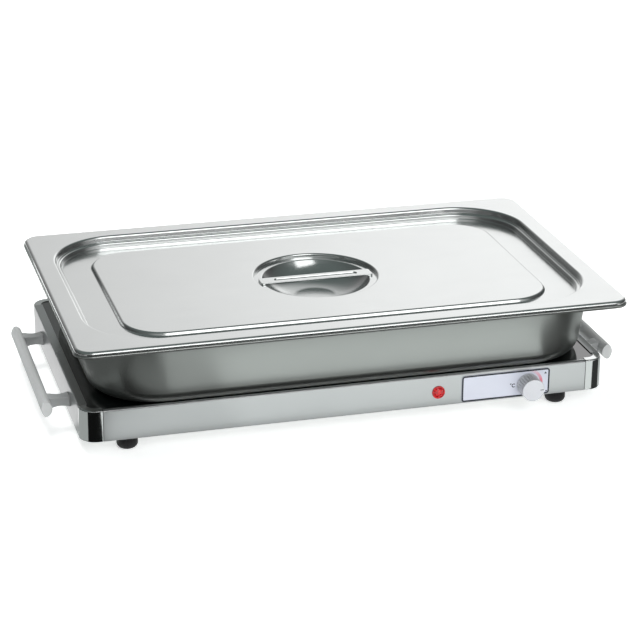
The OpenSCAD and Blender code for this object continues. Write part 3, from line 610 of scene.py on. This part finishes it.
PRINT = 0.05
LABEL_CORNER = 3.0
LABEL_MARGIN = 0.35
KNOB_RIBS = 24
STEPS_PER_RIB = 12
RIB_DEPTH = 1.1
FLUTES = 12
SCREW_HEAD_R = 2.9
SCREW_HEAD_H = 1.6
SCREW_R = 1.5
CROSS = 0.6


def facing_front(at, sheet_y):
    """Turns local (right, up, out) into the frame, for things that stand on the front panel."""
    return lambda u, v, out: (at[0] + u, sheet_y - out, at[1] + v)


def flat_print(outline, place):
    """A thin printed mark on the label, from its outline of (right, up) points."""
    return skin([[place(u, v, 0) for u, v in outline], [place(u, v, PRINT) for u, v in outline]])


def ring_print(outer, inner, place):
    """A printed line between two closed outlines of the same length."""
    loops = [[place(u, v, out) for u, v in line]
             for line, out in ((outer, 0), (outer, PRINT), (inner, PRINT), (inner, 0))]
    return skin(loops, close=True)


def disc(centre, radius, steps=20):
    """(right, up) points of a circle."""
    return [p[:2] for p in circle_loop(centre, radius, 0, steps)]


def label_outline(half, inset):
    """(right, up) points of the label's outline, moved inward by inset."""
    radius = LABEL_CORNER - inset
    loop = round_loop((0, 0), (half[0] - inset - radius, half[1] - inset - radius), radius, 0, 8)
    return [p[:2] for p in loop]


def make_label():
    """Pale label plate with a softened edge."""
    low, high = box_mm("label_plate")
    middle, half = face_of("label_plate")
    thick = high.y - low.y
    place = facing_front(middle, high.y)
    edge = ((0, 0), (0, thick - 0.12), (0.12, thick - 0.02), (LABEL_MARGIN, thick))
    loops = [[place(u, v, out) for u, v in label_outline(half, inset)] for inset, out in edge]
    make_piece("label", skin(loops), "label_pale", stands_for=["label_plate"])


def make_label_marks():
    """Marks printed on the label: a frame, a unit mark, a triangle, a dot and a band that turns red.

    All but the frame are placed by their distance right of and above the knob's axis.
    """
    face = box_mm("label_plate")[0].y
    middle, half = face_of("label_plate")
    knob = face_of("control_knob")[0]
    round_knob = facing_front(knob, face)
    frame_line = ring_print(label_outline(half, 0.15), label_outline(half, 1.7), facing_front(middle, face))
    degree_at, letter_at, dot_at = (-17.3, 1.7), (-14.4, 0.0), (19.3, -9.2)
    degree = ring_print(disc(degree_at, 0.8), disc(degree_at, 0.3), round_knob)
    letter = flat_print(arc(letter_at, 2.0, 42, 318, 20) + arc(letter_at, 1.15, 318, 42, 20), round_knob)
    triangle = flat_print([(17.8, 11.1), (19.2, 9.1), (16.4, 9.1)], round_knob)
    dot = flat_print(disc(dot_at, 0.85), round_knob)
    make_piece("label_marks", join(frame_line, degree, letter, triangle, dot), "mark_dark", smooth=False)
    outer, inner, start, end = 15.2, 12.6, -12, 88
    band = flat_print(arc((0, 0), outer, start, end, 40) + arc((0, 0), inner, end, start, 40), round_knob)
    make_piece("heat_band", band, "label_pale", material="heat_band", smooth=False)


def heat_band_material(centre):
    """Print that turns from the label's own colour to red, clockwise round the knob's axis."""
    material, tree, shader, place = start_material("heat_band", Roughness=0.35)
    shift = tree.nodes.new("ShaderNodeVectorMath")
    shift.operation = "SUBTRACT"
    shift.inputs[1].default_value = centre
    tree.links.new(place.outputs["Object"], shift.inputs[0])
    split = tree.nodes.new("ShaderNodeSeparateXYZ")
    link(tree, shift, "Vector", split, "Vector")
    angle = tree.nodes.new("ShaderNodeMath")
    angle.operation = "ARCTAN2"
    tree.links.new(split.outputs["X"], angle.inputs[0])
    tree.links.new(split.outputs["Z"], angle.inputs[1])
    share = spread(tree, angle, "Value", 0, 1, 0.1, 1.7)
    tint = colours(tree, share, "Result", [(0.0, (0.58, 0.60, 0.68)), (0.35, (0.64, 0.46, 0.54)),
                                           (0.75, (0.66, 0.20, 0.27)), (1.0, (0.62, 0.12, 0.17))])
    link(tree, tint, "Color", shader, "Base Color")
    return material


def make_knob():
    """Ribbed knob with a smooth collar and face."""
    low, high = box_mm("control_knob")
    at, half = face_of("control_knob")
    radius = half[0]
    length = high.y - low.y
    place = facing_front(at, high.y)
    hollow_r, hollow, edge, step = 8.7, 3.0, 0.9, 0.08
    profile = [(hollow_r, hollow, 0), (hollow_r, 0.0, 0), (radius - 0.5, 0.0, 0), (radius, 0.35, 0)]
    profile += [(radius, 1.3, 0), (radius, 1.7, RIB_DEPTH), (radius, length - 2.0, RIB_DEPTH)]
    profile.append((radius - 0.05, length - 1.3, 0.1))
    profile += [(r, out, 0) for r, out in arc((radius - edge, length - edge), edge, 0, 90, 6)]
    profile += [(radius - 1.5, length, 0), (radius - 1.7, length - step, 0), (2.0, length - step, 0)]
    loops = []
    for r, out, depth in profile:
        def ribbed(a, r=r, depth=depth):
            """Radius at an angle, cut by a narrow groove at each rib."""
            return r - depth * (0.5 + 0.5 * math.cos(KNOB_RIBS * a)) ** 6
        loops.append(shaped_loop(ribbed, KNOB_RIBS * STEPS_PER_RIB, place, out))
    make_piece("knob", skin(loops), "knob_silver", "knob", ["control_knob"])


def make_pointer():
    """Pointer line on the knob's face, sunk a little into it."""
    high = box_mm("knob_pointer")[1]
    middle, half = face_of("knob_pointer")
    sink = 0.1
    place = facing_front(middle, high.y + sink)
    inner = (half[0] - half[1], 0)
    loops = []
    for inset, out in ((0, 0), (0, 0.18), (0.08, 0.24)):
        loops.append([place(*p) for p in round_loop((0, 0), inner, half[1] - inset, out, 6)])
    make_piece("pointer", skin(loops), "mark_dark", "knob", ["knob_pointer"], "mark_grey")


def make_lamp():
    """Pilot lamp: a rounded red rim round a cut, faceted lens."""
    low, high = box_mm("pilot_lamp_lens")
    at, half = face_of("pilot_lamp_lens")
    radius = half[0]
    height = high.y - low.y
    place = facing_front(at, high.y)
    rim_r, rim_height, rim_width = 0.8, 1.3, 1.6
    profile = [(radius - rim_width - 0.1, 0.0), (radius, 0.0)]
    profile += arc((radius - rim_r, rim_height - rim_r), rim_r, 0, 180, 10)
    profile.append((radius - rim_width, 0.4))
    make_piece("lamp_rim", lathe(profile, 64, place), "lamp_red", stands_for=["pilot_lamp_lens"])
    lens_r, facets = radius - rim_width - 0.05, 12
    loops = []
    for row, (share, out) in enumerate(((1.0, 0.3), (0.97, 1.0), (0.68, height - 0.55), (0.3, height - 0.1))):
        turn = math.pi / facets * (row % 2)
        angles = [2 * math.pi * i / facets + turn for i in range(facets)]
        size = lens_r * share
        loops.append([place(size * math.cos(a), size * math.sin(a), out) for a in angles])
    make_piece("lamp_lens", skin(loops), "lamp_red", smooth=False)


def make_gland():
    """Cord gland with a fluted cap, through the rear panel."""
    low, high = box_mm("cord_gland")
    at, half = face_of("cord_gland")
    radius = half[0]
    rear = box_mm("rear_panel")[1].y
    inside = rear - low.y
    out = high.y - rear
    bore, shank = 3.6, 6.0

    def loop(r, level, depth=0.0):
        """One round of the gland, at a level outward from the panel, with flutes of a depth."""
        return shaped_loop(lambda a: r - depth * (0.5 + 0.5 * math.cos(a * FLUTES)) ** 2, 96,
                           lambda u, v, w: (at[0] + u, rear + w, at[1] + v), level)

    shank_loops = [loop(bore, -inside), loop(shank, -inside), loop(shank, 0)]
    flange = [loop(radius - 0.3, 0), loop(radius, 0.4), loop(radius, 1.7), loop(radius - 0.5, 2.2)]
    cap = [loop(7.6, 2.4), loop(7.6, 2.9, 0.5), loop(7.3, out - 2.2, 0.5), loop(6.5, out - 0.9, 0.1)]
    mouth = [loop(5.4, out - 0.1), loop(4.4, out), loop(bore, out - 0.6)]
    make_piece("gland", skin(shank_loops + flange + cap + mouth, close=True), "plastic_black",
               stands_for=["cord_gland"])


def make_blank_plate():
    """Blank plate with a raised rim and two rivets, on the rear panel."""
    low, high = box_mm("rating_plate")
    middle, half = face_of("rating_plate")
    thick = high.y - low.y
    corner, rivet_inset = 1.5, 4
    loops = []
    for inset, out in ((0, 0), (0, thick - 0.1), (0.15, thick), (1.1, thick), (1.4, thick - 0.18)):
        inner = (half[0] - inset - corner, half[1] - inset - corner)
        flat = round_loop((0, 0), inner, corner, 0, 6)
        loops.append([(middle[0] + u, low.y + out, middle[1] + v) for u, v, _ in flat])
    rivets = []
    for sign in (-1, 1):
        def on_plate(x, y, z, sign=sign):
            """Moves a point of a rivet to its place on the plate."""
            return middle[0] + sign * (half[0] - rivet_inset) + x, low.y + thick - 0.2 + z, middle[1] + y
        rivets.append(lathe([(1.3, 0), (1.3, 0.04), (1.0, 0.15), (0.5, 0.2)], 20, on_plate))
    make_piece("blank_plate", join(skin(loops), *rivets), "aluminium_plate", stands_for=["rating_plate"])


def screw(x0, y0, low_z, high_z):
    """A pan-head screw with a cross recess in its head, which faces down."""
    rounds = [(1.5, low_z + 0.9, CROSS), (1.7, low_z + 0.02, CROSS), (1.9, low_z, 0), (2.4, low_z + 0.15, 0)]
    rounds += [(SCREW_HEAD_R, low_z + 0.8, 0), (SCREW_HEAD_R, low_z + SCREW_HEAD_H, 0)]
    rounds += [(SCREW_R, low_z + SCREW_HEAD_H, 0), (SCREW_R, high_z - 0.4, 0), (SCREW_R - 0.4, high_z, 0)]
    loops = []
    for r, z, cross in rounds:
        def size(a, r=r, cross=cross):
            """Radius at an angle; cross narrows it between the four arms."""
            return r * (1 - cross + cross * abs(math.cos(2 * a)) ** 8)
        loops.append(shaped_loop(size, 48, lambda u, v, w: (x0 + u, y0 + v, w), z))
    return skin(loops)


def make_cover_screws():
    """The four screws that hold the bottom cover, seen from below."""
    low, high = box_mm("bottom_cover_screws")
    r = SCREW_HEAD_R
    screws = [screw(x, y, low.z, high.z) for x in (low.x + r, high.x - r) for y in (low.y + r, high.y - r)]
    make_piece("cover_screw_heads", join(*screws), "zinc_fastener", stands_for=["bottom_cover_screws"])


# ---- Pan and lid -------------------------------------------------------------------------

PAN_RIM_W = 14.5
MOUTH_R = 72.0
WALL_LEAN = 7.5
FLOOR_R = 14.5
RIM_CORNER_R = 16.0
BORDER_W = 18.5
RECESS_R = 68.0
RECESS_H = 10.7
LID_EDGE_R = 3.0
PANEL_HALF = (206.5, 111.5)
PANEL_R = 38.0
PANEL_H = 3.1
STEP_BEND = 2.0
DISH_R = 62.5
DISH_H = 22.0
DISH_LEDGE = 3.6
BOWL_R = 54.0
BOWL_FOLD = 1.2
BOWL_SLOPE = 55.0


def make_pan():
    """Gastronorm pan: one pressed sheet from its turned-down rim to its floor."""
    low, high = box_mm("gn_pan")
    middle, half = plan_of("gn_pan")
    mouth = (half[0] - PAN_RIM_W, half[1] - PAN_RIM_W)
    m = SHEET / 2
    top, floor = high.z - m, low.z + m
    lip_h, lip_fold, mouth_fold = 2.6, 1.5, 2.5
    lip = [(RIM_CORNER_R - m, high.z - lip_h)]
    lip += arc((RIM_CORNER_R - m - lip_fold, top - lip_fold), lip_fold, 0, 90, 8)
    wall = arc((MOUTH_R + 2, top - mouth_fold), mouth_fold, 90, 175, 8)
    wall += arc((MOUTH_R - WALL_LEAN - FLOOR_R, floor + FLOOR_R), FLOOR_R, 0, -90, 14)
    stations = corner_stations(half, RIM_CORNER_R, lip) + corner_stations(mouth, MOUTH_R, wall)
    make_piece("pan", pressed_sheet(middle, stations, SHEET), "satin_stainless", "pan", ["gn_pan"])


def dish_points(panel):
    """(radius, z) points of the finger dish: a rounded edge, a ledge and a bowl."""
    points = arc((DISH_R, panel - 1.4), 1.4, 90, 165, 8) + arc((60, panel - DISH_LEDGE + 1), 1, -15, -90, 6)
    slope = math.radians(BOWL_SLOPE)
    bowl_arc = (DISH_H - DISH_LEDGE) / (1 - math.cos(slope)) - BOWL_FOLD
    flat = BOWL_R - (BOWL_FOLD + bowl_arc) * math.sin(slope)
    points += arc((BOWL_R, panel - DISH_LEDGE - BOWL_FOLD), BOWL_FOLD, 90, 90 + BOWL_SLOPE, 8)
    points += arc((flat, panel - DISH_H + bowl_arc), bowl_arc, BOWL_SLOPE - 90, -90, 18)
    return points


def make_lid():
    """Lid: rolled edge, flat border, two-tier recess wall, raised panel and finger dish in one sheet."""
    high = box_mm("lid_sheet")[1]
    middle, half = plan_of("lid_sheet")
    m = SHEET / 2
    top = high.z - m
    floor = top - RECESS_H
    panel = floor + PANEL_H
    edge = arc((RIM_CORNER_R - m - LID_EDGE_R, top - LID_EDGE_R), LID_EDGE_R, 0, 90, 12)
    r = RECESS_R
    wall = arc((r, top - 2), 2, 90, 170, 10) + arc((r - 4, top - 4.4), 1.6, -20, -90, 8)
    wall += arc((r - 5.5, top - 7.5), 1.5, 90, 165, 8) + arc((r - 8.2, floor + 1.2), 1.2, -10, -90, 8)
    step = arc((PANEL_R + 3.15, floor + STEP_BEND), STEP_BEND, -90, -150, 8)
    step += arc((PANEL_R - 0.95, panel - STEP_BEND), STEP_BEND, 30, 90, 8)
    stations = corner_stations(half, RIM_CORNER_R, edge)
    stations += corner_stations((half[0] - BORDER_W, half[1] - BORDER_W), RECESS_R, wall)
    stations += corner_stations(PANEL_HALF, PANEL_R, step)
    stations += corner_stations((DISH_R, DISH_R), DISH_R, dish_points(panel))
    make_piece("lid", pressed_sheet(middle, stations, SHEET), "polished_stainless", "lid", ["lid_sheet"])


def make_strip():
    """Strip handle across the dish, with rounded edges and a long pressed groove."""
    low, high = box_mm("lid_handle")
    middle, half = plan_of("lid_handle")
    corner, edge = 2.0, 0.45
    inner = (half[0] - corner, half[1] - corner)
    loops = [round_loop(middle, inner, r, z) for r, z in round_edges(corner, low.z, high.z, edge, 4)]
    groove_half = (42.0, 3.25)
    groove = (groove_half[0] - groove_half[1], 0)
    inside = [(3.6, high.z)] + arc((3.6, high.z - 0.35), 0.35, 90, 150, 4)
    inside += arc((2.6, high.z - 0.6), 0.4, -30, -90, 4)
    loops += [round_loop(middle, groove, r, z) for r, z in inside]
    make_piece("strip", skin(loops), "polished_stainless", "lid", ["lid_handle"])


# ---- Studio ------------------------------------------------------------------------------

def add_softbox(name, place, target, size, radiance):
    """Rectangular light of an even brightness that faces a target."""
    data = bpy.data.lights.new(name, "AREA")
    data.shape = "RECTANGLE"
    data.size, data.size_y = size
    data.energy = radiance * math.pi * size[0] * size[1]
    light = bpy.data.objects.new(name, data)
    bpy.context.scene.collection.objects.link(light)
    light.location = place
    light.rotation_euler = (Vector(target) - Vector(place)).to_track_quat("-Z", "Y").to_euler()
    return light


def add_card(name, tone, corners):
    """Card of one tone, which only reflections see."""
    mesh = bpy.data.meshes.new(name)
    mesh.from_pydata(corners, [], [tuple(range(len(corners)))])
    card = bpy.data.objects.new(name, mesh)
    bpy.context.scene.collection.objects.link(card)
    material, tree, shader, place = start_material(
        name, Roughness=1.0, Specular_IOR_Level=0.0, Emission_Strength=1.0)
    shader.inputs["Base Color"].default_value = (0.0, 0.0, 0.0, 1)
    weave = noise(tree, place, 200)
    colour = tuple(tone * c for c in CARD_TINT)
    vary_tone(tree, weave, shader, shade(colour, 0.97), shade(colour, 1.03), "Emission Color")
    mesh.materials.append(material)
    card.visible_camera = False
    card.visible_diffuse = False
    card.visible_shadow = False
    card.visible_transmission = False


def level(height, *corners):
    """Corners of a level card at a height."""
    return [(x, y, height) for x, y in corners]


def upright(start, end, bottom, top):
    """Corners of an upright card between two points on the ground, from one height to another."""
    return [(*start, bottom), (*end, bottom), (*end, top), (*start, top)]


CARD_TINT = (0.95, 1.0, 0.985)
OVER_GLASS = 0.046
FLOOR_REACH = 12.0

# Each card has a name, a tone and its corners. The pale ones lie round the base on the floor, where the
# panels mirror them. The flags are dark and shade the lower part of a reflection. Those over the glass
# lie at a height that the pan's wall sees and the panels don't.
CARDS = (
    ("card_front", 0.89, level(0.0004, (-0.10, -0.139), (0.36, -0.139), (0.5, -0.9), (-0.08, -0.9))),
    ("card_front_left", 0.75,
     level(0.0006, (-0.24, -0.139), (-0.10, -0.139), (-0.08, -0.9), (-0.24, -0.9))),
    ("card_post_left", 1.0,
     level(0.0014, (-0.2303, -0.165), (-0.2275, -0.165), (-0.217, -0.24), (-0.2203, -0.24))),
    ("card_rear", 0.72, level(0.0004, (-0.4, 0.162), (0.4, 0.162), (0.4, 0.9), (-0.4, 0.9))),
    ("card_beside_left", 0.42,
     level(0.0008, (-0.262, -0.14), (-0.39, -0.215), (-0.39, 0.2), (-0.262, 0.2))),
    ("card_side_left", 1.15,
     level(0.0012, (-0.258, -0.07), (-0.296, -0.05), (-0.31, 0.25), (-0.258, 0.25))),
    ("card_beside_right", 0.55,
     level(0.0008, (0.262, -0.13), (0.262, 0.2), (0.42, 0.2), (0.42, -0.11), (0.291, -0.124))),
    ("flag_left", 0.006,
     level(0.001, (-0.236, -0.142), (-0.262, -0.14), (-0.2825, -0.152), (-0.3255, -0.177),
           (-0.39, -0.215), (-0.39, 0.45), (-1.6, 0.45), (-1.6, -1.2), (-0.1, -1.2),
           (-0.1, -0.6), (-0.17, -0.34), (-0.220, -0.225), (-0.230, -0.172))),
    ("flag_right", 0.04,
     level(0.001, (0.262, -0.16), (0.268, -0.169), (0.303, -0.210), (0.5, -0.42), (1.4, -0.8),
           (1.4, 0.25), (0.42, 0.02), (0.42, -0.105), (0.345, -0.116), (0.291, -0.124),
           (0.262, -0.128))),
    ("flag_front", 0.006,
     level(0.001, (-0.236, -0.139), (0.262, -0.139), (0.262, -0.164), (-0.236, -0.164))),
    ("flag_over_front", 0.006,
     level(OVER_GLASS, (-0.255, -0.1415), (0.25, -0.1415), (0.25, -0.157), (-0.255, -0.157))),
    ("flag_upright", 0.006, upright((-0.25, -0.1375), (0.25, -0.1375), 0.0465, 0.057)),
    ("flag_over_corner", 0.24,
     level(OVER_GLASS, (-0.25, -0.156), (-0.17, -0.156), (-0.17, -0.21), (-0.25, -0.21))),
    ("flag_over_edge", 0.52,
     level(OVER_GLASS, (-0.17, -0.156), (-0.12, -0.156), (-0.12, -0.21), (-0.17, -0.21))),
    ("flag_flange_right", 0.15, upright((0.262, -0.112), (0.262, 0.05), 0.0475, 0.0595)),
    ("flag_over_right", 0.10,
     level(OVER_GLASS, (0.20, -0.157), (0.25, -0.140), (0.275, -0.145), (0.262, -0.20), (0.21, -0.20))),
    ("flag_over_rim", 0.05, upright((-0.275, -0.19), (0.275, -0.19), 0.075, 0.130)),
    ("flag_rear_left", 0.36, upright((-0.29, 0.168), (-0.15, 0.168), 0.048, 0.108)),
    ("flag_over_left", 0.14,
     level(OVER_GLASS, (-0.257, -0.2), (-0.257, 0.15), (-0.45, 0.15), (-0.45, -0.2))),
)

# Tone of the surroundings by azimuth in degrees: 0 is behind the object, 90 is on its right.
HORIZON = (
    (-180, 0.90), (-150, 0.70), (-125, 0.14), (-90, 0.07), (-35, 0.07), (-12, 0.30), (2, 0.66),
    (10, 0.88), (18, 1.20), (30, 1.32), (37, 1.2), (46, 0.4), (62, 0.12), (80, 0.07), (115, 0.10),
    (140, 0.85), (155, 1.15), (174, 1.15), (180, 0.90),
)
# Share of the overhead tone, by the height of a direction.
LIFT = ((0.40, 0.0), (0.48, 0.42), (0.64, 0.66), (0.85, 1.0))
OVERHEAD = (0.13, 0.155, 0.15)
# A colour ramp holds no more than 1, so it gets the tones at this scale.
SCALE = 0.5


def add_world():
    """Soft surroundings: bright low down behind and in front, dark at the two sides and overhead."""
    world = bpy.data.worlds.new("studio")
    world.use_nodes = True
    tree = world.node_tree
    place = tree.nodes.new("ShaderNodeTexCoord")
    split = tree.nodes.new("ShaderNodeSeparateXYZ")
    link(tree, place, "Generated", split, "Vector")
    azimuth = tree.nodes.new("ShaderNodeMath")
    azimuth.operation = "ARCTAN2"
    tree.links.new(split.outputs["X"], azimuth.inputs[0])
    tree.links.new(split.outputs["Y"], azimuth.inputs[1])
    turn = spread(tree, azimuth, "Value", 0, 1, -math.pi, math.pi)
    stops = [((a + 180) / 360, (v * SCALE, v * SCALE, v * SCALE)) for a, v in HORIZON]
    around = colours(tree, turn, "Result", stops)
    lift = colours(tree, split, "Z", [(height, (share, share, share)) for height, share in LIFT])
    mix = tree.nodes.new("ShaderNodeMix")
    mix.data_type = "RGBA"
    tree.links.new(lift.outputs["Color"], mix.inputs[0])
    tree.links.new(around.outputs["Color"], mix.inputs[6])
    mix.inputs[7].default_value = (*shade(OVERHEAD, SCALE), 1)
    tree.links.new(mix.outputs[2], tree.nodes["Background"].inputs["Color"])
    tree.nodes["Background"].inputs["Strength"].default_value = 1 / SCALE
    bpy.context.scene.world = world


def add_floor():
    """Plain pale floor, with a little light of its own that keeps it white."""
    mesh = bpy.data.meshes.new("floor")
    reach = FLOOR_REACH
    mesh.from_pydata(level(0, (-reach, -reach), (reach, -reach), (reach, reach), (-reach, reach)),
                     [], [(0, 1, 2, 3)])
    floor = bpy.data.objects.new("floor", mesh)
    bpy.context.scene.collection.objects.link(floor)
    material, tree, shader, place = start_material("floor", Roughness=0.9, Emission_Strength=0.55)
    shader.inputs["Emission Color"].default_value = (0.97, 0.98, 0.98, 1)
    cloud = noise(tree, place, 2)
    vary_tone(tree, cloud, shader, (0.88, 0.885, 0.885), (0.9, 0.905, 0.905))
    mesh.materials.append(material)


def add_lights():
    """Softboxes. Reflections don't see the top one and the front one, only a weaker one before it."""
    top = add_softbox("top", (-0.55, 0.25, 2.6), (0, 0, 0), (1.5, 1.3), 8.5)
    top.visible_glossy = False
    front = add_softbox("front", (0.7, -2.9, 2.0), (0, 0, 0.1), (2.0, 1.4), 2.6)
    front.visible_glossy = False
    add_softbox("front_seen", (0.69, -2.85, 1.97), (0, 0, 0.1), (2.0, 1.3), 2.0)
    for layer, share in enumerate((1.0, 0.72, 0.45)):
        size = (1.9 * share, 1.1 * share)
        add_softbox(f"front_high_{layer}", (0.62, -1.9, 2.9), (0, 0, 0.1), size, 1.5)


def add_studio():
    """The floor, the surroundings, the lights and the cards."""
    add_floor()
    add_world()
    add_lights()
    for card in CARDS:
        add_card(*card)


# ---- Assembly ----------------------------------------------------------------------------

add_camera()
knob_low, knob_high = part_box("control_knob")
MATERIALS["heat_band"] = heat_band_material((knob_low + knob_high) / 2)
make_front_and_rear()
make_sides()
make_corner_posts()
make_glass()
make_feet()
make_handles()
make_label()
make_label_marks()
make_knob()
make_pointer()
make_lamp()
make_gland()
make_blank_plate()
make_cover_screws()
make_pan()
make_lid()
make_strip()

# The nodes that no piece stands for keep their CAD mesh and get the same materials.
for part in frame["record"]["subparts"]:
    node = frame["nodes"][part["node"]]
    for holder in node.material_slots:
        holder.material = MATERIALS[part["material_slot"]]

add_studio()
bpy.context.scene.view_settings.view_transform = "Standard"
